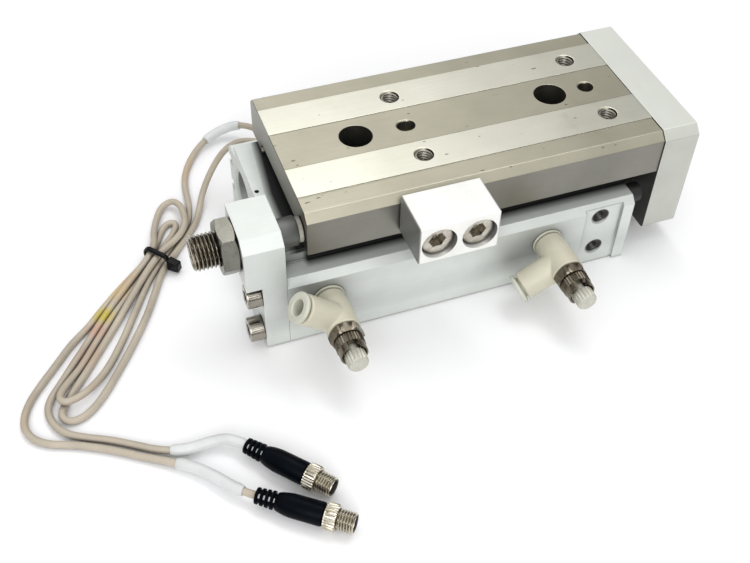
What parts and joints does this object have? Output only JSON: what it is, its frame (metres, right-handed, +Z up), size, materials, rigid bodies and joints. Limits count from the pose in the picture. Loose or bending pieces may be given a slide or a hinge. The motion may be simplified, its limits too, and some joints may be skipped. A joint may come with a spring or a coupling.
{
  "type": "pneumatic slide table",
  "caption": "Flat air-driven slide table: ported body, roller guide and table, end plate, rear stroke stop, elbow speed controllers, and position sensors with tied leads.",
  "frame": {"origin": "centre of the body's flat base face", "axes": "+X along the stroke towards the end plate, +Y towards the sensor side, away from the speed controllers, +Z up through the table"},
  "size_m": [0.2827, 0.2265, 0.0608],
  "materials": {
    "body_anodised": "clear anodised, satin",
    "table_steel": "ground, satin nickel tone",
    "guide_steel": "ground",
    "plate_anodised": "light anodised",
    "block_white": "white anodised",
    "screw_nickel": "nickel plated",
    "adjuster_nickel": "bright nickel",
    "rod_chrome": "hard chromed",
    "inner_alloy": "machined",
    "cage_strip": "plain",
    "seal_rubber": "matte",
    "bumper_urethane": "matte",
    "magnet_black": "bonded magnet",
    "fitting_ivory": "semi-matte",
    "collar_ivory": "semi-matte",
    "fitting_nickel": "nickel plated",
    "knob_plated": "nickel plated",
    "gasket_ivory": "matte",
    "sensor_grey": "matte",
    "lead_beige": "soft vinyl",
    "sleeve_white": "heat-shrunk",
    "tie_black": "matte",
    "boot_black": "satin",
    "insert_black": "matte",
    "ring_nickel": "nickel plated"
  },
  "bodies": {
    "cylinder_body": {"body_extrusion": "body_anodised", "guide_rail": "guide_steel", "rail_screws": "screw_nickel", "head_cap_near": "inner_alloy", "head_cap_far": "inner_alloy", "rod_cover_near": "inner_alloy", "rod_cover_far": "inner_alloy", "rod_seals": "seal_rubber", "snap_rings": "guide_steel", "front_bumpers": "bumper_urethane", "adjuster_holder": "body_anodised", "adjuster_holder_screws": "screw_nickel", "sensor_a": "sensor_grey", "sensor_b": "sensor_grey", "sensor_screws": "screw_nickel", "port_gaskets": "gasket_ivory", "controller_stem_rear": "fitting_nickel", "controller_stem_front": "fitting_nickel", "lead_a_upper": "lead_beige", "lead_b_upper": "lead_beige", "lead_a_lower": "lead_beige", "lead_b_lower": "lead_beige", "lead_sleeves": "sleeve_white", "lead_hank": "lead_beige", "cable_tie": "tie_black", "connector_boot_a": "boot_black", "connector_boot_b": "boot_black", "connector_insert_a": "insert_black", "connector_insert_b": "insert_black"},
    "table": {"slide_table": "table_steel", "end_plate": "plate_anodised", "end_plate_screws": "screw_nickel", "rod_screws": "screw_nickel", "stop_block": "block_white", "stop_block_screws": "screw_nickel", "piston_rod_near": "rod_chrome", "piston_rod_far": "rod_chrome", "piston_near": "inner_alloy", "piston_far": "inner_alloy", "piston_seals": "seal_rubber", "piston_magnets": "magnet_black"},
    "cage_near": {"roller_cage_near": "cage_strip", "rollers_near": "rod_chrome"},
    "cage_far": {"roller_cage_far": "cage_strip", "rollers_far": "rod_chrome"},
    "adjuster": {"adjuster_bolt": "adjuster_nickel", "adjuster_cushion": "bumper_urethane"},
    "adjuster_nut": {"adjuster_nut": "adjuster_nickel"},
    "elbow_rear": {"controller_elbow_rear": "fitting_ivory"},
    "collar_rear": {"release_collar_rear": "collar_ivory"},
    "lock_nut_rear": {"needle_lock_nut_rear": "fitting_nickel"},
    "needle_rear": {"needle_knob_rear": "knob_plated"},
    "elbow_front": {"controller_elbow_front": "fitting_ivory"},
    "collar_front": {"release_collar_front": "collar_ivory"},
    "lock_nut_front": {"needle_lock_nut_front": "fitting_nickel"},
    "needle_front": {"needle_knob_front": "knob_plated"},
    "ring_a": {"coupling_ring_a": "ring_nickel"},
    "ring_b": {"coupling_ring_b": "ring_nickel"}
  },
  "joints": [
    {"name": "table_slide", "type": "slide", "parent": "cylinder_body", "child": "table", "axis": [1, 0, 0], "range_m": [0, 0.04]},
    {"name": "cage_near_slide", "type": "slide", "parent": "cylinder_body", "child": "cage_near", "axis": [1, 0, 0], "range_m": [0, 0.02]},
    {"name": "cage_far_slide", "type": "slide", "parent": "cylinder_body", "child": "cage_far", "axis": [1, 0, 0], "range_m": [0, 0.02]},
    {"name": "adjuster_travel", "type": "slide", "parent": "cylinder_body", "child": "adjuster", "axis": [1, 0, 0], "range_m": [-0.008, 0]},
    {"name": "adjuster_nut_turn", "type": "hinge", "parent": "cylinder_body", "child": "adjuster_nut", "pos_m": [-0.094, -0.03175, 0.0482], "axis": [1, 0, 0], "continuous": true},
    {"name": "elbow_rear_swivel", "type": "hinge", "parent": "cylinder_body", "child": "elbow_rear", "pos_m": [-0.0586, -0.0545, 0.021], "axis": [0, 1, 0], "continuous": true},
    {"name": "release_collar_rear_push", "type": "slide", "parent": "elbow_rear", "child": "collar_rear", "axis": [0.7771, 0, -0.6293], "range_m": [0, 0.0008], "stiffness_N_per_m": 1500},
    {"name": "lock_nut_rear_turn", "type": "hinge", "parent": "cylinder_body", "child": "lock_nut_rear", "pos_m": [-0.0586, -0.0702, 0.021], "axis": [0, 1, 0], "continuous": true},
    {"name": "needle_rear_turn", "type": "hinge", "parent": "cylinder_body", "child": "needle_rear", "pos_m": [-0.0586, -0.0772, 0.021], "axis": [0, 1, 0], "range_deg": [-1440, 1440]},
    {"name": "elbow_front_swivel", "type": "hinge", "parent": "cylinder_body", "child": "elbow_front", "pos_m": [0.0358, -0.0545, 0.021], "axis": [0, 1, 0], "continuous": true},
    {"name": "release_collar_front_push", "type": "slide", "parent": "elbow_front", "child": "collar_front", "axis": [0.8746, 0, 0.4848], "range_m": [0, 0.0008], "stiffness_N_per_m": 1500},
    {"name": "lock_nut_front_turn", "type": "hinge", "parent": "cylinder_body", "child": "lock_nut_front", "pos_m": [0.0358, -0.0702, 0.021], "axis": [0, 1, 0], "continuous": true},
    {"name": "needle_front_turn", "type": "hinge", "parent": "cylinder_body", "child": "needle_front", "pos_m": [0.0358, -0.0772, 0.021], "axis": [0, 1, 0], "range_deg": [-1440, 1440]},
    {"name": "coupling_ring_a_turn", "type": "hinge", "parent": "cylinder_body", "child": "ring_a", "pos_m": [-0.08332, -0.1292, 0.0049], "axis": [0.7965, -0.6046, 0], "continuous": true},
    {"name": "coupling_ring_b_turn", "type": "hinge", "parent": "cylinder_body", "child": "ring_b", "pos_m": [-0.08502, -0.11231, 0.0049], "axis": [0.6639, -0.7478, 0], "continuous": true}
  ],
  "couplings": [
    {"joint": "cage_near_slide", "follows": "table_slide", "ratio": 0.5},
    {"joint": "cage_far_slide", "follows": "table_slide", "ratio": 0.5}
  ]
}
